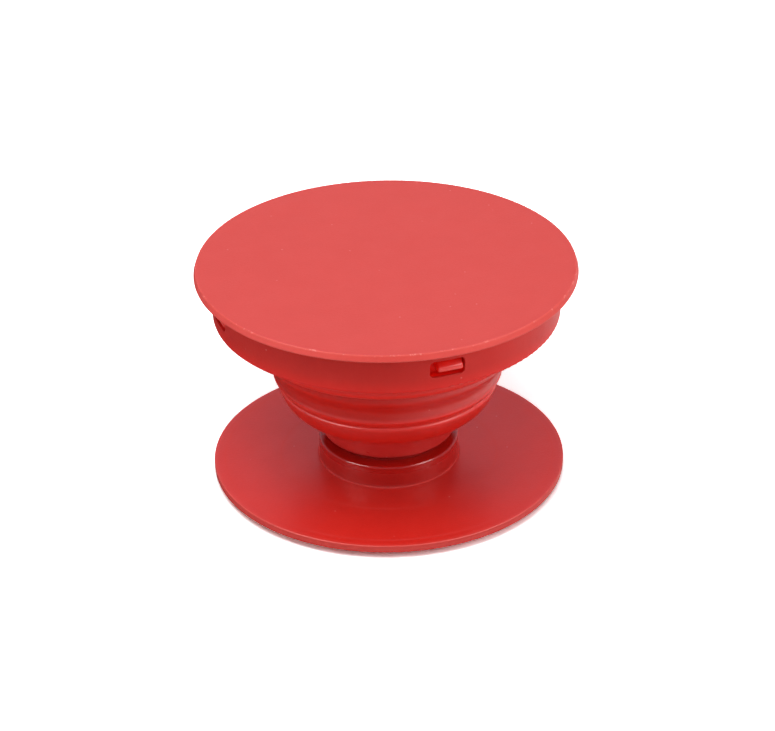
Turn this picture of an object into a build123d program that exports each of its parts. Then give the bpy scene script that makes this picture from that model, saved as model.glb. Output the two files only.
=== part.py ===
from build123d import *
from math import cos, radians, sin
import os

# Collapsible phone grip, pulled out to its full height and standing on its adhesive pad.
# Lengths are in millimetres. Z is the grip's axis, and the adhesive face lies at Z = 0.

# Adhesive pad
pad_diameter = 34.0
pad_thickness = 0.8

# Base plate, and the collar on it that holds the bellows
plate_diameter = 37.5
plate_thickness = 0.8
plate_top_round = 0.2
plate_low_round = 0.3
collar_diameter = 14.9
collar_height = 2.5
collar_top_round = 0.45
collar_foot_fillet = 0.12
lip_bore = 11.5
lip_thickness = 1.15
lip_lead_in = 0.25
pocket_bore = 12.7

# Foot of the bellows: a stem that turns in the collar's lip, and a bead that snaps under it
stem_clearance = 0.08
stem_wall = 1.2
bead_side_clearance = 0.15
bead_end_clearance = 0.15
bead_lead_in = 0.5

# Bands of the bellows, from the lowest up, each leaning outwards as it rises
foot_gap = 0.95
foot_slope = 0.3
foot_floor = 0.8
foot_wall = 1.2
lower_band_foot_diameter = 14.0
lower_band_top_diameter = 18.0
lower_band_rise = 2.95
lower_band_hollow = 0.15
middle_band_foot_diameter = 20.4
middle_band_top_diameter = 23.3
middle_band_rise = 2.54
middle_band_bulge = 0.2
wide_lip_inset = 0.6
wide_lip_rise = 0.76
wide_band_foot_diameter = 24.4
wide_band_top_diameter = 26.8
wide_band_rise = 3.94
shoulder_foot_diameter = 30.0
shoulder_foot_round = 0.4
shoulder_strip = 0.85
shoulder_rise = 3.35

# Creases between the bands, whose thin roots are the living hinges
lower_crease_rise = 0.58
lower_crease_depth = 0.4
middle_crease_rise = 0.18
middle_crease_depth = 0.4
upper_crease_rise = 0.55
upper_crease_depth = 0.45
hinge_wall = 0.5
band_edge_round = 0.18

# Top ring of the bellows, which sits inside the cap's skirt
ring_height = 3.7
ring_wall = 1.3
ring_lead_in = 0.3
ring_side_clearance = 0.12
ring_seat_gap = 0.1

# Cap: a thin disc with a skirt under it
disc_diameter = 40.0
disc_thickness = 0.75
disc_top_round = 0.12
disc_low_round = 0.12
rim_draft = 0.2
rim_land = 0.15
rim_overhang = 1.75
skirt_wall = 1.05
skirt_height = 4.55
skirt_draft = 0.06
skirt_foot_round = 0.25
skirt_root_fillet = 0.25

# Windows through the skirt, with a snap barb of the bellows in each
window_count = 4
window_width = 3.7
window_height = 1.8
window_corner = 0.45
window_lift = 1.45
barb_side_play = 0.475
barb_side_clearance = 0.12
barb_low_play = 0.35
barb_top_play = 0.12
barb_recess = 0.05
barb_end_round = 0.5
barb_brow = 0.55

# Radii worked out from the sizes above
pad_radius = pad_diameter / 2
plate_radius = plate_diameter / 2
collar_radius = collar_diameter / 2
lip_radius = lip_bore / 2
pocket_radius = pocket_bore / 2
stem_radius = lip_radius - stem_clearance
stem_hollow_radius = stem_radius - stem_wall
bead_radius = pocket_radius - bead_side_clearance
disc_radius = disc_diameter / 2
skirt_radius = disc_radius - rim_overhang
skirt_inner_radius = skirt_radius - skirt_wall
ring_radius = skirt_inner_radius - ring_side_clearance
ring_inner_radius = ring_radius - ring_wall

# Heights worked out from the sizes above, from the adhesive face up
plate_low = pad_thickness
plate_top = plate_low + plate_thickness
collar_top = plate_top + collar_height
lip_low = collar_top - lip_thickness
bead_low = plate_low + bead_end_clearance
bead_top = lip_low - bead_end_clearance
foot_height = collar_top + foot_gap

# Corners of the bands, as (radius, height)
lower_foot = (lower_band_foot_diameter / 2, foot_height)
lower_top = (lower_band_top_diameter / 2, lower_foot[1] + lower_band_rise)
middle_foot = (middle_band_foot_diameter / 2, lower_top[1] + lower_crease_rise)
middle_top = (middle_band_top_diameter / 2, middle_foot[1] + middle_band_rise)
lip_foot = (wide_band_foot_diameter / 2 - wide_lip_inset, middle_top[1] + middle_crease_rise)
wide_foot = (wide_band_foot_diameter / 2, lip_foot[1] + wide_lip_rise)
wide_top = (wide_band_top_diameter / 2, wide_foot[1] + wide_band_rise)
shoulder_foot = (shoulder_foot_diameter / 2, wide_top[1] + upper_crease_rise)
shoulder_brow = (shoulder_foot[0], shoulder_foot[1] + shoulder_strip)
shoulder_top = (ring_radius, shoulder_foot[1] + shoulder_rise)

# Heights of the cap, which is carried by the bellows' top ring
ring_top = shoulder_top[1] + ring_height
disc_low = ring_top + ring_seat_gap
disc_top = disc_low + disc_thickness
skirt_low = disc_low - skirt_height
window_low = skirt_low + window_lift
window_middle = window_low + window_height / 2

# Barbs, which lie against one side of their windows
barb_width = window_width - 2 * barb_side_play
barb_shift = barb_side_play - barb_side_clearance
barb_low = window_low + barb_low_play
barb_top = window_low + window_height - barb_top_play
barb_radius = skirt_radius - barb_recess
barb_root_radius = ring_radius - ring_wall / 2
window_turns = [radians(360 / window_count * place) for place in range(window_count)]


def corners(sketch, points):
    """The corners of a sketch that lie at the given points."""
    return [sketch.vertices().sort_by_distance(point)[0] for point in points]


def crease_root(below, above, depth):
    """The root of the crease between two bands, cut in by depth from the narrower edge."""
    return (min(below[0], above[0]) - depth, (below[1] + above[1]) / 2)


def ogee(top, foot):
    """Control points of a band's side that leaves its top upright, leans in, and ends upright at its foot."""
    third = (top[1] - foot[1]) / 3
    return top, (top[0], top[1] - third), (foot[0], foot[1] + third), foot


def outward_plane(turn):
    """An upright plane on the axis that faces out through the window at that turn."""
    return Plane(
        origin=(0, 0, window_middle),
        x_dir=(-sin(turn), cos(turn), 0),
        z_dir=(cos(turn), sin(turn), 0),
    )


def barb_plane(turn):
    """A level plane at the barbs' undersides, with its X pointing out through the window at that turn."""
    return Plane(origin=(0, 0, barb_low), x_dir=(cos(turn), sin(turn), 0), z_dir=(0, 0, 1))


# Adhesive pad: a plain foam disc
with BuildPart() as adhesive_pad:
    with BuildSketch():
        Circle(pad_radius)
    extrude(amount=pad_thickness)
adhesive_pad.part.label = "adhesive_pad"

# Base plate: a thin disc and a collar, bored for the stem and open below for the bead
plate_edge_top = (plate_radius, plate_top)
plate_edge_low = (plate_radius, plate_low)
collar_foot = (collar_radius, plate_top)
collar_edge = (collar_radius, collar_top)
lip_edge = (lip_radius, collar_top)

with BuildPart() as base_plate:
    with BuildSketch(Plane.XZ) as plate_section:
        with BuildLine():
            Polyline(
                (pocket_radius, plate_low),
                plate_edge_low,
                plate_edge_top,
                collar_foot,
                collar_edge,
                lip_edge,
                (lip_radius, lip_low),
                (pocket_radius, lip_low),
                close=True,
            )
        make_face()
        fillet(corners(plate_section, [plate_edge_top]), plate_top_round)
        fillet(corners(plate_section, [plate_edge_low]), plate_low_round)
        fillet(corners(plate_section, [collar_edge]), collar_top_round)
        fillet(corners(plate_section, [collar_foot]), collar_foot_fillet)
        chamfer(corners(plate_section, [lip_edge]), lip_lead_in)
    revolve(axis=Axis.Z)
base_plate.part.label = "base_plate"

# Bellows: bands and living hinges between the snap foot and the top ring, in one moulding
lower_root = crease_root(lower_top, middle_foot, lower_crease_depth)
middle_root = crease_root(middle_top, lip_foot, middle_crease_depth)
upper_root = crease_root(wide_top, shoulder_foot, upper_crease_depth)
ring_edge_outer = (ring_radius, ring_top)
ring_edge_inner = (ring_inner_radius, ring_top)
band_edges = [
    lower_foot,
    lower_top,
    middle_foot,
    middle_top,
    lip_foot,
    wide_foot,
    wide_top,
]
crease_roots = [lower_root, middle_root, upper_root]

with BuildPart() as bellows:
    with BuildSketch(Plane.XZ) as bellows_section:
        with BuildLine():
            Line(ring_edge_outer, shoulder_top)
            Bezier(*ogee(shoulder_top, shoulder_brow))
            Polyline(shoulder_brow, shoulder_foot, upper_root, wide_top)
            Bezier(*ogee(wide_top, wide_foot))
            Polyline(wide_foot, lip_foot, middle_root, middle_top)
            SagittaArc(middle_top, middle_foot, middle_band_bulge)
            Polyline(middle_foot, lower_root, lower_top)
            SagittaArc(lower_top, lower_foot, -lower_band_hollow)
            Polyline(
                lower_foot,
                (stem_radius, lower_foot[1] - foot_slope),
                (stem_radius, bead_top),
                (bead_radius, bead_top),
                (bead_radius, bead_low + bead_lead_in),
                (bead_radius - bead_lead_in, bead_low),
                (stem_hollow_radius, bead_low),
                (stem_hollow_radius, lower_foot[1]),
                (lower_foot[0] - foot_wall, lower_foot[1] + foot_floor),
                *[(root[0] - hinge_wall, root[1]) for root in crease_roots],
                (ring_inner_radius, shoulder_top[1]),
                ring_edge_inner,
                ring_edge_outer,
            )
        make_face()
        fillet(corners(bellows_section, band_edges), band_edge_round)
        fillet(corners(bellows_section, [shoulder_foot]), shoulder_foot_round)
        chamfer(corners(bellows_section, [ring_edge_outer, ring_edge_inner]), ring_lead_in)
    revolve(axis=Axis.Z)

    # Snap barbs: a flat underside that locks, and a sloping brow that lets the cap push on from above
    with BuildSketch(*[barb_plane(turn) for turn in window_turns]) as barb_plan:
        with Locations((barb_root_radius, barb_shift)):
            Rectangle(barb_radius - barb_root_radius, barb_width, align=(Align.MIN, Align.CENTER))
        fillet(barb_plan.vertices().group_by(Axis.X)[-1], barb_end_round)
    extrude(amount=barb_top - barb_low)
    with BuildSketch(Plane.XZ):
        with BuildLine():
            Polyline(
                (barb_radius - barb_brow, barb_top),
                (disc_radius, barb_top),
                (disc_radius, barb_top - barb_brow - (disc_radius - barb_radius)),
                close=True,
            )
        make_face()
    revolve(axis=Axis.Z, mode=Mode.SUBTRACT)
bellows.part.label = "bellows"

# Cap: the disc and its skirt in one moulding, pierced by the windows
disc_edge_top = (disc_radius - rim_draft, disc_top)
disc_edge_middle = (disc_radius, disc_low + rim_land)
disc_edge_low = (disc_radius, disc_low)
skirt_root = (skirt_radius, disc_low)
skirt_foot_outer = (skirt_radius - skirt_draft, skirt_low)
skirt_foot_inner = (skirt_inner_radius, skirt_low)
skirt_root_inner = (skirt_inner_radius, disc_low)

with BuildPart() as cap:
    with BuildSketch(Plane.XZ) as cap_section:
        with BuildLine():
            Polyline(
                (0, disc_low),
                (0, disc_top),
                disc_edge_top,
                disc_edge_middle,
                disc_edge_low,
                skirt_root,
                skirt_foot_outer,
                skirt_foot_inner,
                skirt_root_inner,
                close=True,
            )
        make_face()
        fillet(corners(cap_section, [disc_edge_top]), disc_top_round)
        fillet(corners(cap_section, [disc_edge_low]), disc_low_round)
        fillet(corners(cap_section, [skirt_foot_outer]), skirt_foot_round)
        fillet(corners(cap_section, [skirt_root]), skirt_root_fillet)
    revolve(axis=Axis.Z)

    with BuildSketch(*[outward_plane(turn) for turn in window_turns]):
        RectangleRounded(window_width, window_height, window_corner)
    extrude(amount=disc_radius, mode=Mode.SUBTRACT)
cap.part.label = "cap"

os.makedirs("parts", exist_ok=True)
for piece in (adhesive_pad, base_plate, bellows, cap):
    export_step(piece.part, f"parts/{piece.part.label}.step")
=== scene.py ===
import math

import bpy
import numpy as np
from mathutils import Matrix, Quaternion, Vector


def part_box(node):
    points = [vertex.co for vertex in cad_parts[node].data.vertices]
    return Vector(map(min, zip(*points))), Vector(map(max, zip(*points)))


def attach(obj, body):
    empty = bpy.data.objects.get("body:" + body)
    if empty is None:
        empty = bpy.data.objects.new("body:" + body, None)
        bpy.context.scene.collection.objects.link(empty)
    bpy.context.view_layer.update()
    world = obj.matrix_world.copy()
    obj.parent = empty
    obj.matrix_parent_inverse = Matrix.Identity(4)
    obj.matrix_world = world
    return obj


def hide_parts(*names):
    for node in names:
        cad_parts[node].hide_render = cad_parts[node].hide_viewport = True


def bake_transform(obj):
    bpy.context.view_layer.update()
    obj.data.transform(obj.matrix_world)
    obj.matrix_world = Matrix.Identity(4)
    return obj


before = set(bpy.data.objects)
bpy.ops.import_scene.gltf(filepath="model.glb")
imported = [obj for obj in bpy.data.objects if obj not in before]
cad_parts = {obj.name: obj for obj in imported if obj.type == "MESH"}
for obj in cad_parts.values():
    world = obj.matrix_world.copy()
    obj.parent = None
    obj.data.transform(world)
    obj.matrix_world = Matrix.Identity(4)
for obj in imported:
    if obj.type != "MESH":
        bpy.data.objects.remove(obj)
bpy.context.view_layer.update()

# A collapsible phone grip, pulled out and standing on its adhesive pad on a white ground.
# Lengths named here are in millimetres unless a name says otherwise; meshes are in metres.
MM = 0.001

# Places of the discs and the collar, from the fixed model and the thickness of each disc
disc_thickness = 0.75
plate_thickness = 0.8
cap_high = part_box("cap")[1] / MM
base_low, base_high = (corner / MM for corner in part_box("base_plate"))
ring_top_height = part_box("bellows")[1].z / MM
disc_radius = cap_high.x
disc_top = cap_high.z
disc_low = disc_top - disc_thickness
plate_radius = base_high.x
plate_low = base_low.z
plate_top = plate_low + plate_thickness
collar_top = base_high.z

# Outer line of the bellows from the top ring down to the bead, as (radius, height)
ring_edge = (17.08, ring_top_height)
shoulder_top = (17.08, 19.9)
shoulder_brow = (15.05, 17.5)
parting_top = (14.9, 17.2)
parting_foot = (14.9, 17.08)
shoulder_foot = (14.45, 16.3)
upper_root = (12.95, 16.27)
wide_top = (13.4, 16.0)
wide_foot = (12.08, 12.5)
wide_lip = (12.21, 12.18)
lip_foot = (11.54, 11.32)
middle_top = (11.7, 11.12)
middle_foot = (10.2, 8.58)
lower_root = (8.6, 8.29)
lower_top = (9.0, 8.0)
lower_foot = (7.0, 5.05)
stem_top = (5.67, 4.75)
stem_foot = (5.67, 2.8)
bead_top = (6.2, 2.8)
bead_foot = (6.2, 1.45)
bead_nose = (5.7, 0.95)

# Inner line of the bellows from the bead up to the top ring
hollow_foot = (4.47, 0.95)
hollow_top = (4.47, 5.05)
inner_floor = (5.8, 5.85)
inner_lower = (8.1, 8.29)
inner_middle = (10.7, 11.21)
inner_upper = (12.45, 16.27)
inner_ring_foot = (15.78, 19.9)
inner_ring_edge = (15.78, ring_top_height)

# Line of the base plate, from the pocket's mouth out round the plate and up over the collar
pocket_radius = 6.35
collar_radius = 7.45
collar_mouth_radius = 5.75
collar_lip_depth = 1.15
pocket_mouth = (pocket_radius, plate_low)
plate_edge_low = (plate_radius, plate_low)
plate_edge_top = (plate_radius, plate_top)
collar_foot = (collar_radius, plate_top)
collar_edge = (collar_radius, collar_top)
collar_lip_edge = (collar_mouth_radius, collar_top)
collar_lip_low = (collar_mouth_radius, collar_top - collar_lip_depth)
pocket_roof = (pocket_radius, collar_top - collar_lip_depth)
plate_low_rounding = 0.05
plate_top_rounding = 0.06
collar_foot_rounding = 0.06
collar_rounding = 0.25
collar_lip_rounding = 0.25

# How far the bands bow out from a straight side; the lowest one bows in
middle_bulge = 0.28
lower_bulge = -0.15

# Rounding of the shoulder's foot, the wide band's lip and the crease under it, as the length it takes
# from each side
shoulder_rounding = 0.3
lip_rounding = 0.2
crease_rounding = 0.15

# Softness of the moulded edges, and how finely the bellows and the base plate are divided
edge_softness = 0.05
bell_reach = 4
same_place = 1e-9
line_step = 0.03
line_points = 420
turn_points = 180
base_points = 280
base_turn_points = 256
turning_weight = 3.0

# Snap barbs that show in the skirt's windows
barb_count = 4
barb_root = 16.43
barb_reach = 18.2
barb_width = 2.75
barb_shift = 0.355
barb_low = 21.12
barb_top = 22.08
barb_brow = 0.52
barb_lean = 0.55
barb_rounding = 0.14
barb_end_rounding = 0.22
barb_line_points = 96
barb_end_steps = 9

# Noise of the finishes, as (grains in a metre, detail, roughness); the fine grain has its own count
fine_grain_noise = (3.0, 0.6)
wander_noise = (420.0, 4.0, 0.55)
cloud_noise = (260.0, 5.0, 0.6)
fleck_noise = (3600.0, 2.0, 0.5)
patch_noise = (700.0, 4.0, 0.65)
nick_noise = (2600.0, 3.0, 0.7)
film_noise = (900.0, 4.0, 0.6)
foam_noise = (900.0, 4.0, 0.5)

# Moulded grain and dyed plastic: the noise level that counts as even, how much more the broad wander
# counts than the fine grain, and how clouds and flecks mix two shades
noise_middle = 0.5
wander_gain = 2.0
cloud_step = (0.35, 0.65)
fleck_step = (0.3, 0.7)
cloud_share = 0.6
fleck_share = 0.4

# Scuff marks along edges, also drawn as painted highlights on the bellows: the noise level of bare edges,
# how far full cover lowers it, and their soft border
patch_share = 0.5
bare_level = 0.85
cover_span = 0.5
scuff_softness = 0.12
wear_and_highlight_dullness = 0.2
# Pale of scuffed edges, which on the base plate's side is partly painted sheen
SCUFF_AND_SHEEN_PALE = (0.84, 0.23, 0.20, 1)

# Specks of lint
lint = {"cells": 750.0, "spot_size": 0.11, "share": 0.2}
lint_paleness = 0.5
LINT_PALE = (0.80, 0.30, 0.28, 1)

# Samples for edges that only look rounded
soft_edge_samples = 6

# Painted light: a brighter red on the cap's window walls, and on the ring and the barbs behind them, in
# place of the shade in those recesses
PAINTED_LIGHT_WINDOW_RED = ((0.94, 0.011, 0.005, 1), (0.95, 0.013, 0.006, 1))

# Finish of the cap. A pair of lengths here and below is a soft border, from its outside to its inside.
CAP_RED = ((0.61, 0.0135, 0.008, 1), (0.635, 0.017, 0.0105, 1))
# The disc's face: a paler, chalky shade, partly its textured surface and partly painted sheen
CHALK_AND_SHEEN = ((0.62, 0.063, 0.054, 1), (0.64, 0.067, 0.058, 1))
# Painted light: the rim's shade is brighter still
PAINTED_LIGHT_RIM_CHALK = ((0.705, 0.062, 0.050, 1), (0.73, 0.067, 0.054, 1))
# Painted light: a brighter red at the skirt's foot
PAINTED_LIGHT_SKIRT_FOOT_RED = (0.76, 0.0145, 0.008, 1)
chalk_and_sheen_height = (disc_low - 0.05, disc_low + 0.05)
painted_light_disc_rim = (disc_radius - 0.35, disc_radius - 0.2)
disc_dullness = 0.06
painted_light_skirt_foot = (20.8, 19.3)
painted_light_skirt_foot_share = 0.7
# Painted light on the window walls: where it starts and ends
painted_light_window_walls = (17.95, 17.8)

# Finish of the base plate and its collar
BASE_RED = ((0.595, 0.0160, 0.010, 1), (0.625, 0.0200, 0.013, 1))
# Painted shade: the collar, under the cap, gets a deeper red
PAINTED_SHADE_COLLAR_RED = (0.48, 0.011, 0.007, 1)
collar_side = (7.9, 7.55)
collar_lip_height = (plate_top + 1.5, plate_top + 2.0)
collar_lip_gloss = 0.23
painted_shade_collar_height = (plate_top + 0.05, plate_top + 0.2)
painted_shade_collar_share = 0.8
corner_width = 0.35
corner_height = (plate_top + 0.35, plate_top + 0.15)
corner_dullness = 0.45
turned_rings = (11.6, 17.6)
turned_ring_width = 0.16
turned_ring_dullness = 0.18
turned_ring_paleness = 0.05

# Finish of the bellows
BELLOWS_RED = ((0.62, 0.013, 0.007, 1), (0.64, 0.015, 0.009, 1))
# Painted highlight: a bright red along the bellows' thin edges
PAINTED_HIGHLIGHT_EDGE_RED = (0.97, 0.03, 0.02, 1)
shoulder_arris = (14.75, 16.9)
# Painted shade: a deeper red in the middle of the wide band
PAINTED_SHADE_HOLLOW_RED = (0.50, 0.010, 0.006, 1)
painted_shade_hollow_low = (12.9, 13.9)
painted_shade_hollow_high = (15.2, 14.3)
painted_shade_hollow_share = 0.65
# Pale of the dust on the lowest band and of the painted sheen on the wide band
DUST_AND_SHEEN_PALE = (0.70, 0.30, 0.30, 1)
dust_height = (8.7, 7.9)
dust_paleness = 0.08
film_step = (0.3, 0.7)
film_spread = (0.8, 1.2)
# Painted sheen: the wide band is paler on one side
painted_sheen_azimuth = 16.0
painted_sheen_facing = (0.8, 0.99)
painted_sheen_low = (12.1, 12.8)
painted_sheen_high = (16.0, 15.0)
painted_sheen_paleness = 0.06
# Painted reflection: the barbs' upright noses are paler
PAINTED_REFLECTION_NOSE_PALE = (0.80, 0.20, 0.17, 1)
painted_reflection_nose_reach = (18.1, 18.17)
painted_reflection_nose_height = (21.75, 21.45)
painted_reflection_nose_paleness = 0.25
# Painted light on the top ring and the barbs: where it starts and ends in height
painted_light_top_ring = (20.2, 20.5)
ring_side = (17.4, 17.2)
ring_dullness = 0.5

# Finish of the foam pad
FOAM_SHADES = ((0.62, 0.61, 0.6, 1), (0.78, 0.77, 0.76, 1))
foam_cells = 3500.0
foam_pit = (0.0, 0.6)
foam_roughness = (0.8, 0.95)
foam_depth = 0.05

# Camera, fitted to the outlines of both discs in a picture of 775 by 731 pixels
middle = Vector((0, 0, 12.2))
camera_distance = 300.0
camera_azimuth = -19.1
camera_elevation = 29.38
camera_roll = -0.9
camera_lens = 131.6
sensor_width = 36.0

# Soft lamps
lamp_size = 180.0
lamp_distance = 380.0

# White ground and room. What a gloss shows of the ground brightens from its left to its right.
ground_reach = 300.0
ground_turn = (-10.0, 45.0)
ground_gloss = (0.05, 1.1)
quarter_turn = 90.0
ROOM_TINT = (0.955, 1.0, 1.16, 1)


def direction(azimuth, elevation):
    """The unit vector from the grip to a place at that azimuth, counted from the front, and elevation."""
    turn = math.radians(azimuth)
    lift = math.radians(elevation)
    return Vector((math.sin(turn) * math.cos(lift), -math.cos(turn) * math.cos(lift), math.sin(lift)))


def bowed(start, end, bulge, count=24):
    """Points from start to end on a bowed line: the straight line between them, moved sideways by
    4 t (1 - t) times the bulge, along the side that lies to the left of the way from start to end."""
    start, end = np.array(start), np.array(end)
    t = np.linspace(0, 1, count)[:, None]
    along = (end - start) / np.linalg.norm(end - start)
    sideways = np.array((-along[1], along[0]))
    return start + t * (end - start) + 4 * t * (1 - t) * bulge * sideways


def ogee(start, end, count=32):
    """Points from start to end on a side that sets off straight down, leans in and ends straight down
    again: the radius passes from one to the other by 35 t^4 - 84 t^5 + 70 t^6 - 20 t^7 while the height
    falls evenly."""
    start, end = np.array(start), np.array(end)
    t = np.linspace(0, 1, count)
    lean = 35 * t ** 4 - 84 * t ** 5 + 70 * t ** 6 - 20 * t ** 7
    return start + np.column_stack((lean, t)) * (end - start)


def rounded(before, corner, after, reach, count=12):
    """Points of a rounded corner: a parabola that leaves the line from before at that reach from the
    corner, and joins the line to after at the same reach."""
    before, corner, after = np.array(before), np.array(corner), np.array(after)
    start = corner + reach * (before - corner) / np.linalg.norm(before - corner)
    end = corner + reach * (after - corner) / np.linalg.norm(after - corner)
    t = np.linspace(0, 1, count)[:, None]
    return (1 - t) ** 2 * start + 2 * t * (1 - t) * corner + t ** 2 * end


def evened(points, step):
    """The closed line through the points, cut again at equal lengths close to step."""
    closed = np.vstack((points, points[:1]))
    lengths = np.hypot(*np.diff(closed, axis=0).T)
    closed = closed[np.append(lengths > same_place, True)]
    run = np.append(0, np.cumsum(lengths[lengths > same_place]))
    at = np.arange(0, run[-1], run[-1] / round(run[-1] / step))
    return np.column_stack([np.interp(at, run, closed[:, k]) for k in (0, 1)])


def softened(points, step, softness):
    """The closed line with its corners rounded: each point becomes the mean of its neighbours,
    weighted by a bell curve as wide as softness along the line."""
    reach = int(bell_reach * softness / step)
    offsets = np.arange(-reach, reach + 1) * step
    weights = np.exp(-0.5 * (offsets / softness) ** 2)
    weights /= weights.sum()
    padded = np.vstack((points[-reach:], points, points[:reach]))
    return np.column_stack([np.convolve(padded[:, k], weights, "valid") for k in (0, 1)])


def gathered(points, count, weight):
    """count points of a closed line, spread so that each step spans an equal share of the line's
    length plus weight times an equal share of its turning: close together where the line bends."""
    ahead = np.roll(points, -1, axis=0) - points
    heading = np.unwrap(np.arctan2(ahead[:, 1], ahead[:, 0]))
    turning = np.abs(np.gradient(heading))
    length = np.hypot(ahead[:, 0], ahead[:, 1])
    share = np.cumsum(length / length.sum() + weight * turning / turning.sum())
    picks = np.searchsorted(share, np.linspace(share[0], share[-1], count, endpoint=False))
    return points[np.unique(picks)]


def revolved(line, columns):
    """Carries a line of (radius, height) round the Z axis:
    x = radius cos(turn), y = radius sin(turn), z = height, on a grid of line by turn."""
    turn = np.linspace(0, 2 * np.pi, columns, endpoint=False)[None, :]
    radius, height = line[:, :1], line[:, 1:]
    return np.stack((radius * np.cos(turn), radius * np.sin(turn), height + 0 * turn), axis=-1)


def ring_faces(rows, columns, closed_rows):
    """Four-sided faces of a grid whose columns close on themselves, and its rows too if asked."""
    last = rows if closed_rows else rows - 1
    row, column = np.meshgrid(np.arange(last), np.arange(columns), indexing="ij")
    here = row * columns
    below = (row + 1) % rows * columns
    beside = (column + 1) % columns
    corners = (here + column, below + column, below + beside, here + beside)
    return np.stack(corners, axis=-1).reshape(-1, 4)


def mesh_piece(name, points, faces):
    """A smooth-shaded object at the origin, from points in millimetres and lists of face corners."""
    mesh = bpy.data.meshes.new(name)
    mesh.from_pydata((points * MM).tolist(), [], faces)
    mesh.shade_smooth()
    piece = bpy.data.objects.new(name, mesh)
    bpy.context.scene.collection.objects.link(piece)
    return piece


def make_bellows():
    """The folding neck: its whole section, outer and inner side, carried round the axis."""
    outer = [
        [ring_edge, shoulder_top, shoulder_brow, parting_top, parting_foot],
        rounded(parting_foot, shoulder_foot, upper_root, shoulder_rounding),
        [upper_root],
        ogee(wide_top, wide_foot),
        rounded(wide_foot, wide_lip, lip_foot, lip_rounding),
        rounded(wide_lip, lip_foot, middle_top, crease_rounding),
        bowed(middle_top, middle_foot, middle_bulge),
        [lower_root],
        bowed(lower_top, lower_foot, lower_bulge),
        [stem_top, stem_foot, bead_top, bead_foot, bead_nose],
    ]
    inner = [
        [hollow_foot, hollow_top, inner_floor, inner_lower, inner_middle, inner_upper],
        [inner_ring_foot, inner_ring_edge],
    ]
    line = evened(np.vstack(outer + inner), line_step)
    line = gathered(softened(line, line_step, edge_softness), line_points, turning_weight)
    grid = revolved(line, turn_points)
    faces = ring_faces(len(line), turn_points, closed_rows=True)
    return mesh_piece("bellows_neck", grid.reshape(-1, 3), faces.tolist())


def make_base():
    """The base plate with its collar: its section, with rounded edges, carried round the axis."""
    line = np.vstack((
        [pocket_mouth],
        rounded(pocket_mouth, plate_edge_low, plate_edge_top, plate_low_rounding),
        rounded(plate_edge_low, plate_edge_top, collar_foot, plate_top_rounding),
        rounded(plate_edge_top, collar_foot, collar_edge, collar_foot_rounding),
        rounded(collar_foot, collar_edge, collar_lip_edge, collar_rounding),
        rounded(collar_edge, collar_lip_edge, collar_lip_low, collar_lip_rounding),
        [collar_lip_low, pocket_roof],
    ))
    line = softened(evened(line, line_step), line_step, edge_softness)
    line = gathered(line, base_points, turning_weight)
    grid = revolved(line, base_turn_points)
    faces = ring_faces(len(line), base_turn_points, closed_rows=True)[:, ::-1]
    return mesh_piece("base_disc", grid.reshape(-1, 3), faces.tolist())


def make_barbs():
    """The snap barbs: the section of a wedge, whose brow leans back over an upright nose, carried across
    the barb's width. Over the last stretch at both ends the section shrinks towards its own middle along a
    quarter circle, so the ends are rounded too."""
    root_low, nose_low = (barb_root, barb_low), (barb_reach, barb_low)
    nose_top, brow_top = (barb_reach, barb_top - barb_brow), (barb_reach - barb_lean, barb_top)
    root_top = (barb_root, barb_top)
    line = np.vstack((
        [root_low],
        rounded(root_low, nose_low, nose_top, barb_rounding),
        rounded(nose_low, nose_top, brow_top, barb_rounding),
        rounded(nose_top, brow_top, root_top, barb_rounding),
        [root_top],
    ))
    line = gathered(evened(line, line_step), barb_line_points, turning_weight)

    swing = np.linspace(0, np.pi / 2, barb_end_steps)
    straight = barb_width / 2 - barb_end_rounding
    past = straight + barb_end_rounding * np.sin(swing)
    shrink = 1 - barb_end_rounding * (1 - np.cos(swing)) / ((barb_top - barb_low) / 2)
    wide = barb_shift + np.concatenate((-past[::-1], past))[:, None]
    scale = np.concatenate((shrink[::-1], shrink))[:, None]
    center = np.array(((barb_root + barb_reach) / 2, (barb_low + barb_top) / 2))
    deep = center[0] + scale * (line[:, 0] - center[0])
    high = center[1] + scale * (line[:, 1] - center[1])
    grid = np.stack((deep, wide + 0 * deep, high), axis=-1)
    stations, around = deep.shape
    ends = [(center[0], wide[0, 0], center[1]), (center[0], wide[-1, 0], center[1])]
    shell = np.vstack((grid.reshape(-1, 3), ends))

    sides = ring_faces(stations, around, closed_rows=False)
    here = np.arange(around)
    beside = (here + 1) % around
    first_end, last_end = stations * around, stations * around + 1
    last_row = (stations - 1) * around
    near = np.column_stack((here, beside, np.full(around, first_end)))
    far = np.column_stack((last_row + beside, last_row + here, np.full(around, last_end)))

    points, faces = [], []
    for place in range(barb_count):
        turned = 2 * np.pi / barb_count * place
        cosine, sine = np.cos(turned), np.sin(turned)
        spin = np.array(((cosine, -sine, 0), (sine, cosine, 0), (0, 0, 1)))
        first = place * len(shell)
        points.append(shell @ spin.T)
        faces += (sides + first).tolist() + (near + first).tolist() + (far + first).tolist()
    return mesh_piece("snap_barbs", np.vstack(points), faces)


def feed(tree, value, socket):
    """Links an output to an input socket, or sets the input to a plain value."""
    if isinstance(value, bpy.types.NodeSocket):
        tree.links.new(value, socket)
    else:
        socket.default_value = value


def new_node(tree, kind, inputs, **settings):
    """A node of that kind with its settings made, and then its inputs fed by name or number."""
    node = tree.nodes.new(kind)
    for key, value in settings.items():
        setattr(node, key, value)
    for label, value in inputs.items():
        feed(tree, value, node.inputs[label])
    return node


def math_node(tree, operation, *values):
    """The result of a Math node on outputs or plain numbers."""
    return new_node(tree, "ShaderNodeMath", dict(enumerate(values)), operation=operation).outputs[0]


def plus(tree, first, second):
    """The sum of two values."""
    return math_node(tree, "ADD", first, second)


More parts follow.
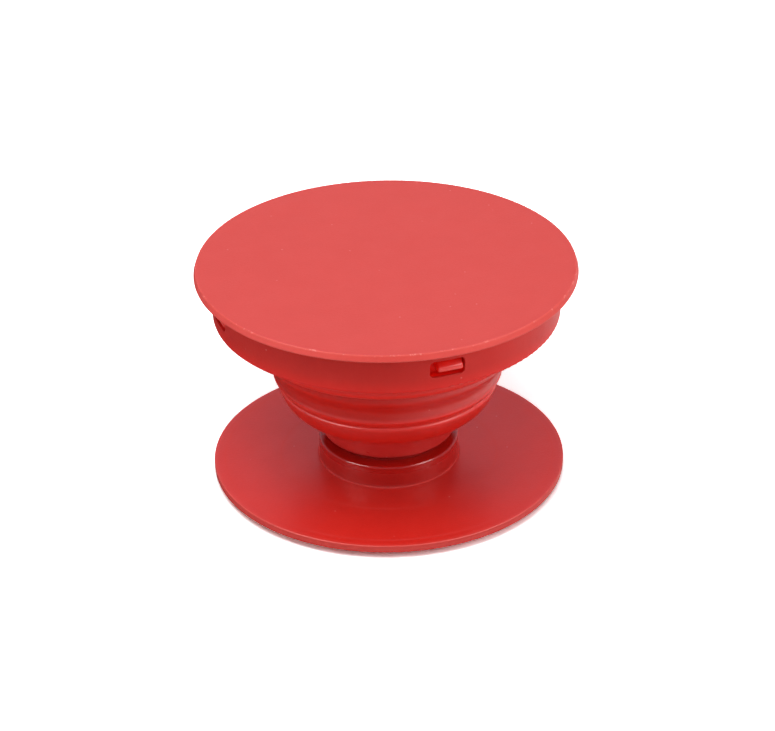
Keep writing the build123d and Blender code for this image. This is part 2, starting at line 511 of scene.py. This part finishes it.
def minus(tree, first, second):
    """The first value less the second."""
    return math_node(tree, "SUBTRACT", first, second)


def times(tree, first, second):
    """The product of two values."""
    return math_node(tree, "MULTIPLY", first, second)


def root_of_squares(tree, first, second):
    """The square root of the sum of the squares of two values."""
    return math_node(tree, "SQRT", plus(tree, times(tree, first, first), times(tree, second, second)))


def ramp(tree, value, low, high, to_low=0.0, to_high=1.0):
    """A smooth step of value from low to high, spread over to_low to to_high."""
    inputs = {"Value": value, "From Min": low, "From Max": high, "To Min": to_low, "To Max": to_high}
    return new_node(tree, "ShaderNodeMapRange", inputs, interpolation_type="SMOOTHSTEP").outputs["Result"]


def border(tree, length, outside, inside, to_low=0.0, to_high=1.0):
    """A smooth step as a length passes from outside to inside, both in millimetres."""
    return ramp(tree, length, outside * MM, inside * MM, to_low, to_high)


def mixed(tree, mask, color, other):
    """A colour that passes into another where the mask is high."""
    inputs = {"Factor": mask, "A": color, "B": other}
    return new_node(tree, "ShaderNodeMix", inputs, data_type="RGBA").outputs["Result"]


def object_place(tree):
    """The place on the piece, in metres along the grip's own axes."""
    return tree.nodes.new("ShaderNodeTexCoord").outputs["Object"]


def axis_place(tree, place):
    """The distance of a place from the grip's axis, and its height."""
    x, y, z = new_node(tree, "ShaderNodeSeparateXYZ", {0: place}).outputs
    return root_of_squares(tree, x, y), z


def length_along(tree, place, way):
    """How far a place lies along a direction from the origin."""
    node = new_node(tree, "ShaderNodeVectorMath", {0: place, 1: way}, operation="DOT_PRODUCT")
    return node.outputs["Value"]


def noise(tree, place, scale, detail, roughness):
    """A noise texture's value at a place; scale counts the grains in a metre."""
    inputs = {"Vector": place, "Scale": scale, "Detail": detail, "Roughness": roughness}
    return new_node(tree, "ShaderNodeTexNoise", inputs).outputs["Fac"]


def round_cells(tree, place, scale):
    """A cell texture's outputs at a place; scale counts the cells in a metre."""
    return new_node(tree, "ShaderNodeTexVoronoi", {"Vector": place, "Scale": scale}).outputs


# Kinds of sockets that the node groups have
VALUE = "NodeSocketFloat"
COLOR = "NodeSocketColor"


def new_group(name, inputs, outputs):
    """A shader node group with named sockets of those kinds, and its own ends of them."""
    tree = bpy.data.node_groups.new(name, "ShaderNodeTree")
    for label, kind in inputs.items():
        tree.interface.new_socket(label, in_out="INPUT", socket_type=kind)
    for label, kind in outputs.items():
        tree.interface.new_socket(label, in_out="OUTPUT", socket_type=kind)
    return tree, tree.nodes.new("NodeGroupInput").outputs, tree.nodes.new("NodeGroupOutput").inputs


def grain_group():
    """Fine grain of a moulded surface: a height for bump, and a roughness that wanders with it."""
    tree, given, out = new_group(
        "moulded_grain",
        {"Grains": VALUE, "Roughness": VALUE, "Spread": VALUE},
        {"Height": VALUE, "Roughness": VALUE},
    )
    place = object_place(tree)
    fine = noise(tree, place, given["Grains"], *fine_grain_noise)
    broad = noise(tree, place, *wander_noise)
    wander = times(tree, minus(tree, broad, noise_middle), wander_gain)
    speckle = minus(tree, fine, noise_middle)
    shift = times(tree, plus(tree, wander, speckle), given["Spread"])
    tree.links.new(fine, out["Height"])
    tree.links.new(plus(tree, given["Roughness"], shift), out["Roughness"])
    return tree


def pigment_group():
    """Colour of dyed plastic: two close shades, mixed by broad clouds and fine flecks."""
    tree, given, out = new_group("dyed_plastic", {"Shade": COLOR, "Second Shade": COLOR}, {"Color": COLOR})
    place = object_place(tree)
    clouds = ramp(tree, noise(tree, place, *cloud_noise), *cloud_step)
    flecks = ramp(tree, noise(tree, place, *fleck_noise), *fleck_step)
    share = plus(tree, times(tree, clouds, cloud_share), times(tree, flecks, fleck_share))
    tree.links.new(mixed(tree, share, given["Shade"], given["Second Shade"]), out["Color"])
    return tree


def wear_and_highlight_group():
    """Wear along a round edge: how near a place is to the circle of that radius and height,
    as a faint rub all along it and, by noise, stronger patches and small nicks. On the bellows the same
    mark is a painted highlight, and on the base plate's side it is partly painted sheen."""
    tree, given, out = new_group(
        "edge_wear_and_highlight_marks",
        {"Edge Radius": VALUE, "Edge Height": VALUE, "Reach": VALUE, "Cover": VALUE, "Rub": VALUE},
        {"Mask": VALUE},
    )
    place = object_place(tree)
    across, high = axis_place(tree, place)
    aside = minus(tree, across, given["Edge Radius"])
    above = minus(tree, high, given["Edge Height"])
    near = ramp(tree, root_of_squares(tree, aside, above), given["Reach"], 0.0)
    patches = noise(tree, place, *patch_noise)
    nicks = noise(tree, place, *nick_noise)
    worn = plus(tree, times(tree, patches, patch_share), times(tree, nicks, 1 - patch_share))
    level = minus(tree, bare_level, times(tree, given["Cover"], cover_span))
    broken = ramp(tree, worn, level, plus(tree, level, scuff_softness))
    tree.links.new(times(tree, near, math_node(tree, "MAXIMUM", broken, given["Rub"])), out["Mask"])
    return tree


def ring_group():
    """A faint turned ring: how near a place is to that distance from the axis."""
    tree, given, out = new_group("turned_ring", {"Ring Radius": VALUE, "Ring Width": VALUE}, {"Mask": VALUE})
    across = axis_place(tree, object_place(tree))[0]
    away = math_node(tree, "ABSOLUTE", minus(tree, across, given["Ring Radius"]))
    tree.links.new(ramp(tree, away, given["Ring Width"], 0.0), out["Mask"])
    return tree


def speck_group():
    """Sparse specks of lint: small spots in a few of the cells of a cell texture."""
    tree, given, out = new_group(
        "lint_specks", {"Cells": VALUE, "Spot Size": VALUE, "Share": VALUE}, {"Mask": VALUE}
    )
    cells = round_cells(tree, object_place(tree), given["Cells"])
    spot = ramp(tree, cells["Distance"], given["Spot Size"], 0.0)
    chance = new_node(tree, "ShaderNodeSeparateColor", {"Color": cells["Color"]}).outputs["Red"]
    kept = math_node(tree, "LESS_THAN", chance, given["Share"])
    tree.links.new(times(tree, spot, kept), out["Mask"])
    return tree


groups = {
    "grain": grain_group(),
    "pigment": pigment_group(),
    "wear_and_highlight": wear_and_highlight_group(),
    "ring": ring_group(),
    "specks": speck_group(),
}


def use_group(tree, group, **values):
    """The outputs of a group placed in a material, with its own values set on its named inputs."""
    node = tree.nodes.new("ShaderNodeGroup")
    node.node_tree = groups[group]
    for key, value in values.items():
        node.inputs[key.replace("_", " ").title()].default_value = value
    return node.outputs


def pigment(tree, shades):
    """The colour of plastic dyed in two close shades."""
    return use_group(tree, "pigment", shade=shades[0], second_shade=shades[1])["Color"]


def near_ring(tree, radius, width):
    """How near a place is to a ring of that radius, within that width."""
    return use_group(tree, "ring", ring_radius=radius * MM, ring_width=width * MM)["Mask"]


def wear_and_highlight_edge(radius, height, reach, cover, rub):
    """Values for the marks along one round edge: scuffing on the cap and the base plate, painted highlights
    on the bellows.
    """
    lengths = {"edge_radius": radius * MM, "edge_height": height * MM, "reach": reach * MM}
    return {**lengths, "cover": cover, "rub": rub}


def new_finish(name):
    """A material with only a Principled shader in it."""
    material = bpy.data.materials.new(name)
    material.use_nodes = True
    return material, material.node_tree, material.node_tree.nodes["Principled BSDF"]


def bumped(tree, shader, height, depth, edge_radius=0.0):
    """Sends a height to the shader's normal, as bumps of that depth, with edges that look rounded to a
    radius, if one is given."""
    inputs = {"Height": height, "Distance": depth * MM}
    if edge_radius:
        soft_edge = new_node(
            tree, "ShaderNodeBevel", {"Radius": edge_radius * MM}, samples=soft_edge_samples
        )
        inputs["Normal"] = soft_edge.outputs["Normal"]
    bump = new_node(tree, "ShaderNodeBump", inputs)
    tree.links.new(bump.outputs["Normal"], shader.inputs["Normal"])


def red_finish(
    name, shades, grain, grain_depth, specular, edges, changes, edge_radius=0.0, edge_shade=SCUFF_AND_SHEEN_PALE
):
    """Dyed red plastic with moulded grain, sparse lint, and marks in the edge shade along the given round
    edges: scuffing, partly painted sheen on the base plate's side, and painted highlights on the bellows.
    changes replaces the colour and the roughness over some parts of the piece, painted light and shade
    among them. Sharp edges look rounded to the edge radius, if one is given."""
    material, tree, shader = new_finish(name)
    moulded = use_group(tree, "grain", **grain)
    color, rough = changes(tree, pigment(tree, shades), moulded["Roughness"])
    for edge in edges:
        wear_and_highlight = use_group(tree, "wear_and_highlight", **edge)["Mask"]
        color = mixed(tree, wear_and_highlight, color, edge_shade)
        rough = plus(tree, rough, times(tree, wear_and_highlight, wear_and_highlight_dullness))
    specks = use_group(tree, "specks", **lint)["Mask"]
    color = mixed(tree, times(tree, specks, lint_paleness), color, LINT_PALE)
    tree.links.new(color, shader.inputs["Base Color"])
    tree.links.new(rough, shader.inputs["Roughness"])
    shader.inputs["Specular IOR Level"].default_value = specular
    bumped(tree, shader, moulded["Height"], grain_depth, edge_radius)
    return material


def cap_chalk_and_painted_light(tree, color, rough):
    """The cap's disc, above the skirt, has a finely textured face with a paler, chalky look that is partly
    painted sheen, and a rim made brighter still as painted light. The skirt gets painted light as a
    brighter red at its foot and on the walls of its windows."""
    across, high = axis_place(tree, object_place(tree))
    # Painted light: a brighter red at the skirt's foot
    foot = times(tree, border(tree, high, *painted_light_skirt_foot), painted_light_skirt_foot_share)
    color = mixed(tree, foot, color, PAINTED_LIGHT_SKIRT_FOOT_RED)
    # Painted light: the walls of the windows get a brighter red
    color = mixed(tree, border(tree, across, *painted_light_window_walls), color, pigment(tree, PAINTED_LIGHT_WINDOW_RED))
    # Painted light: a brighter shade at the rim
    rim = border(tree, across, *painted_light_disc_rim)
    chalky_sheen_color = mixed(tree, rim, pigment(tree, CHALK_AND_SHEEN), pigment(tree, PAINTED_LIGHT_RIM_CHALK))
    # The disc's face takes the chalky shade, partly its textured surface and partly painted sheen
    disc = border(tree, high, *chalk_and_sheen_height)
    return mixed(tree, disc, color, chalky_sheen_color), plus(tree, rough, times(tree, disc, disc_dullness))


def collar_gloss_and_painted_shade(tree, color, rough):
    """The base plate's collar gets a deeper red than the plate as painted shade, with a glossy lip and a
    dull corner at its foot. The plate has two faint turned rings."""
    across, high = axis_place(tree, object_place(tree))
    inside = border(tree, across, *collar_side)
    lip = times(tree, inside, border(tree, high, *collar_lip_height))
    rough = minus(tree, rough, times(tree, lip, collar_lip_gloss))
    # Painted shade: a deeper red over the collar
    wall = times(tree, inside, border(tree, high, *painted_shade_collar_height))
    color = mixed(tree, times(tree, wall, painted_shade_collar_share), color, PAINTED_SHADE_COLLAR_RED)
    corner = times(tree, near_ring(tree, collar_radius, corner_width), border(tree, high, *corner_height))
    rough = plus(tree, rough, times(tree, corner, corner_dullness))
    for radius in turned_rings:
        ring = near_ring(tree, radius, turned_ring_width)
        rough = plus(tree, rough, times(tree, ring, turned_ring_dullness))
        color = mixed(tree, times(tree, ring, turned_ring_paleness), color, LINT_PALE)
    return color, rough


def bellows_dust_painted_light_and_shade(tree, color, rough):
    """The hollow of the bellows' wide band gets a deeper red as painted shade, and the band gets a pale
    painted sheen on one side. The lowest band, next to the collar, holds a film of dust. The top ring and
    the barbs get a brighter red as painted light, with a painted reflection on the barbs' noses, and the
    ring's side is dull."""
    place = object_place(tree)
    across, high = axis_place(tree, place)
    # Painted shade: the wide band's middle gets a deeper red
    hollow = times(tree, border(tree, high, *painted_shade_hollow_low), border(tree, high, *painted_shade_hollow_high))
    color = mixed(tree, times(tree, hollow, painted_shade_hollow_share), color, PAINTED_SHADE_HOLLOW_RED)

    dust = times(tree, border(tree, high, *dust_height), dust_paleness)
    # Painted sheen: the wide band is paler on the side facing that way
    toward = length_along(tree, place, direction(painted_sheen_azimuth, 0))
    side = ramp(tree, math_node(tree, "DIVIDE", toward, across), *painted_sheen_facing)
    band = times(tree, border(tree, high, *painted_sheen_high), border(tree, high, *painted_sheen_low))
    rub = times(tree, times(tree, side, band), painted_sheen_paleness)
    uneven = ramp(tree, noise(tree, place, *film_noise), *film_step, *film_spread)
    # Dust on the lowest band and painted sheen on the wide band, made uneven
    color = mixed(tree, times(tree, plus(tree, dust, rub), uneven), color, DUST_AND_SHEEN_PALE)

    # Painted light: the top ring and the barbs get a brighter red
    ring = border(tree, high, *painted_light_top_ring)
    color = mixed(tree, ring, color, pigment(tree, PAINTED_LIGHT_WINDOW_RED))
    # Painted reflection: paler noses on the barbs
    nose = times(tree, border(tree, across, *painted_reflection_nose_reach), border(tree, high, *painted_reflection_nose_height))
    color = mixed(tree, times(tree, nose, painted_reflection_nose_paleness), color, PAINTED_REFLECTION_NOSE_PALE)
    dull = times(tree, ring, border(tree, across, *ring_side))
    return color, plus(tree, rough, times(tree, dull, ring_dullness))


def foam_finish():
    """Closed-cell foam: pale, dull, with small round cells pressed into it."""
    material, tree, shader = new_finish("pad_foam")
    place = object_place(tree)
    pits = round_cells(tree, place, foam_cells)["Distance"]
    tint = mixed(tree, noise(tree, place, *foam_noise), *FOAM_SHADES)
    tree.links.new(tint, shader.inputs["Base Color"])
    tree.links.new(ramp(tree, pits, *foam_pit, *foam_roughness), shader.inputs["Roughness"])
    bumped(tree, shader, pits, foam_depth)
    return material


cap_red = red_finish(
    "cap_red",
    shades=CAP_RED,
    grain={"grains": 5200.0, "roughness": 0.44, "spread": 0.05},
    grain_depth=0.018,
    specular=0.25,
    edges=[
        wear_and_highlight_edge(radius=disc_radius - 0.22, height=disc_top - 0.03, reach=0.18, cover=0.66, rub=0.10),
        wear_and_highlight_edge(radius=disc_radius, height=disc_low + 0.1, reach=0.16, cover=0.45, rub=0.03),
    ],
    changes=cap_chalk_and_painted_light,
    edge_radius=0.12,
)
base_red = red_finish(
    "base_red",
    shades=BASE_RED,
    grain={"grains": 4200.0, "roughness": 0.36, "spread": 0.05},
    grain_depth=0.014,
    specular=0.4,
    edges=[
        wear_and_highlight_edge(radius=plate_radius - 0.04, height=plate_top - 0.03, reach=0.14, cover=0.55, rub=0.16),
        # The plate's side is paled all over, partly as wear and partly as painted sheen
        wear_and_highlight_edge(radius=plate_radius, height=plate_top - 0.4, reach=0.8, cover=0.3, rub=0.15),
    ],
    changes=collar_gloss_and_painted_shade,
)
bellows_red = red_finish(
    "bellows_red",
    shades=BELLOWS_RED,
    grain={"grains": 900.0, "roughness": 0.28, "spread": 0.012},
    grain_depth=0.002,
    specular=0.5,
    # Painted highlights along the shoulder's arris, the wide band's lip and the middle band's arris
    edges=[
        wear_and_highlight_edge(*shoulder_arris, reach=1.0, cover=0.1, rub=0.5),
        wear_and_highlight_edge(*wide_lip, reach=0.5, cover=0.1, rub=0.5),
        wear_and_highlight_edge(*middle_top, reach=0.4, cover=0.1, rub=0.6),
    ],
    changes=bellows_dust_painted_light_and_shade,
    edge_shade=PAINTED_HIGHLIGHT_EDGE_RED,
)
pad_foam = foam_finish()


def dress(piece, material):
    """Gives a piece that one material."""
    piece.data.materials.clear()
    piece.data.materials.append(material)


bellows = make_bellows()
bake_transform(bellows)
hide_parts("bellows")
dress(bellows, bellows_red)

barbs = make_barbs()
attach(barbs, "head")
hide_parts("bellows")
dress(barbs, bellows_red)

base = make_base()
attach(base, "foot")
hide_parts("base_plate")
dress(base, base_red)

dress(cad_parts["cap"], cap_red)
dress(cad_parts["adhesive_pad"], pad_foam)


def by_ray(tree, lighting, mirrored, seen):
    """A number that differs with the ray that asks: light that falls on things, what a gloss or glass
    shows, and what the camera sees."""
    path = tree.nodes.new("ShaderNodeLightPath").outputs
    sharp = math_node(tree, "MAXIMUM", path["Is Glossy Ray"], path["Is Transmission Ray"])
    unseen = ramp(tree, sharp, 0.0, 1.0, lighting, mirrored)
    return ramp(tree, path["Is Camera Ray"], 0.0, 1.0, unseen, seen)


def make_floor():
    """A white ground: a plain sheet that looks white itself and keeps the shadow of the grip."""
    mesh = bpy.data.meshes.new("ground")
    reach = ground_reach * MM
    corners = [(-reach, -reach, 0), (reach, -reach, 0), (reach, reach, 0), (-reach, reach, 0)]
    mesh.from_pydata(corners, [], [(0, 1, 2, 3)])
    floor = bpy.data.objects.new("ground", mesh)
    bpy.context.scene.collection.objects.link(floor)
    material, tree, shader = new_finish("ground_white")
    rightward = length_along(tree, object_place(tree), direction(camera_azimuth + quarter_turn, 0))
    mirrored = border(tree, rightward, *ground_turn, *ground_gloss)
    white = by_ray(tree, lighting=0.85, mirrored=mirrored, seen=1.85)
    tree.links.new(white, shader.inputs["Base Color"])
    shader.inputs["Roughness"].default_value = 1.0
    shader.inputs["Specular IOR Level"].default_value = 0.0
    dress(floor, material)


def make_world():
    """White all round: full white where it is seen, less in a gloss, and a faint fill as light."""
    world = bpy.data.worlds.new("white_room")
    world.use_nodes = True
    tree = world.node_tree
    background = tree.nodes["Background"]
    strength = by_ray(tree, lighting=0.03, mirrored=0.69, seen=1.05)
    tree.links.new(strength, background.inputs["Strength"])
    background.inputs["Color"].default_value = ROOM_TINT
    bpy.context.scene.world = world


def make_lamp(name, beside_camera, elevation, power, mirrored=True, lighting=True):
    """A square soft lamp that faces the grip from an angle beside the camera and an elevation. One that
    isn't mirrored lights the grip but doesn't show in its gloss, and one that isn't lighting shows only
    there."""
    data = bpy.data.lights.new(name, "AREA")
    data.size = lamp_size * MM
    data.energy = power
    lamp = bpy.data.objects.new(name, data)
    bpy.context.scene.collection.objects.link(lamp)
    toward = direction(camera_azimuth + beside_camera, elevation)
    lamp.location = (middle + toward * lamp_distance) * MM
    lamp.rotation_euler = (-toward).to_track_quat("-Z", "Y").to_euler()
    lamp.visible_glossy = mirrored
    lamp.visible_diffuse = lighting


def make_camera():
    """The camera on its line of sight to the grip's middle, rolled a little about that line."""
    data = bpy.data.cameras.new("camera")
    data.lens = camera_lens
    data.sensor_width = sensor_width
    camera = bpy.data.objects.new("camera", data)
    bpy.context.scene.collection.objects.link(camera)
    back = direction(camera_azimuth, camera_elevation)
    camera.location = (middle + back * camera_distance) * MM
    roll = Quaternion((0, 0, 1), math.radians(camera_roll))
    camera.rotation_euler = ((-back).to_track_quat("-Z", "Y") @ roll).to_euler()
    bpy.context.scene.camera = camera


make_floor()
make_world()
make_lamp("lamp_high_left", beside_camera=-45, elevation=65, power=0.58)
make_lamp("lamp_high_right", beside_camera=52, elevation=65, power=0.18)
make_lamp("lamp_high_front", beside_camera=0, elevation=65, power=0.36, mirrored=False)
make_lamp("lamp_front", beside_camera=0, elevation=38, power=0.2, mirrored=False)
make_lamp("lamp_front_right", beside_camera=42, elevation=32, power=0.18, mirrored=False)
make_lamp("gleam_left", beside_camera=-58, elevation=38, power=1.6, lighting=False)
make_lamp("gleam_right", beside_camera=64, elevation=38, power=1.6, lighting=False)
make_lamp("lamp_low_left", beside_camera=-88, elevation=14, power=0.31, mirrored=False)
make_lamp("lamp_low_right", beside_camera=90, elevation=12, power=0.41, mirrored=False)
make_lamp("lamp_behind", beside_camera=180, elevation=40, power=0.44, mirrored=False)
make_camera()
bpy.context.scene.view_settings.view_transform = "Standard"
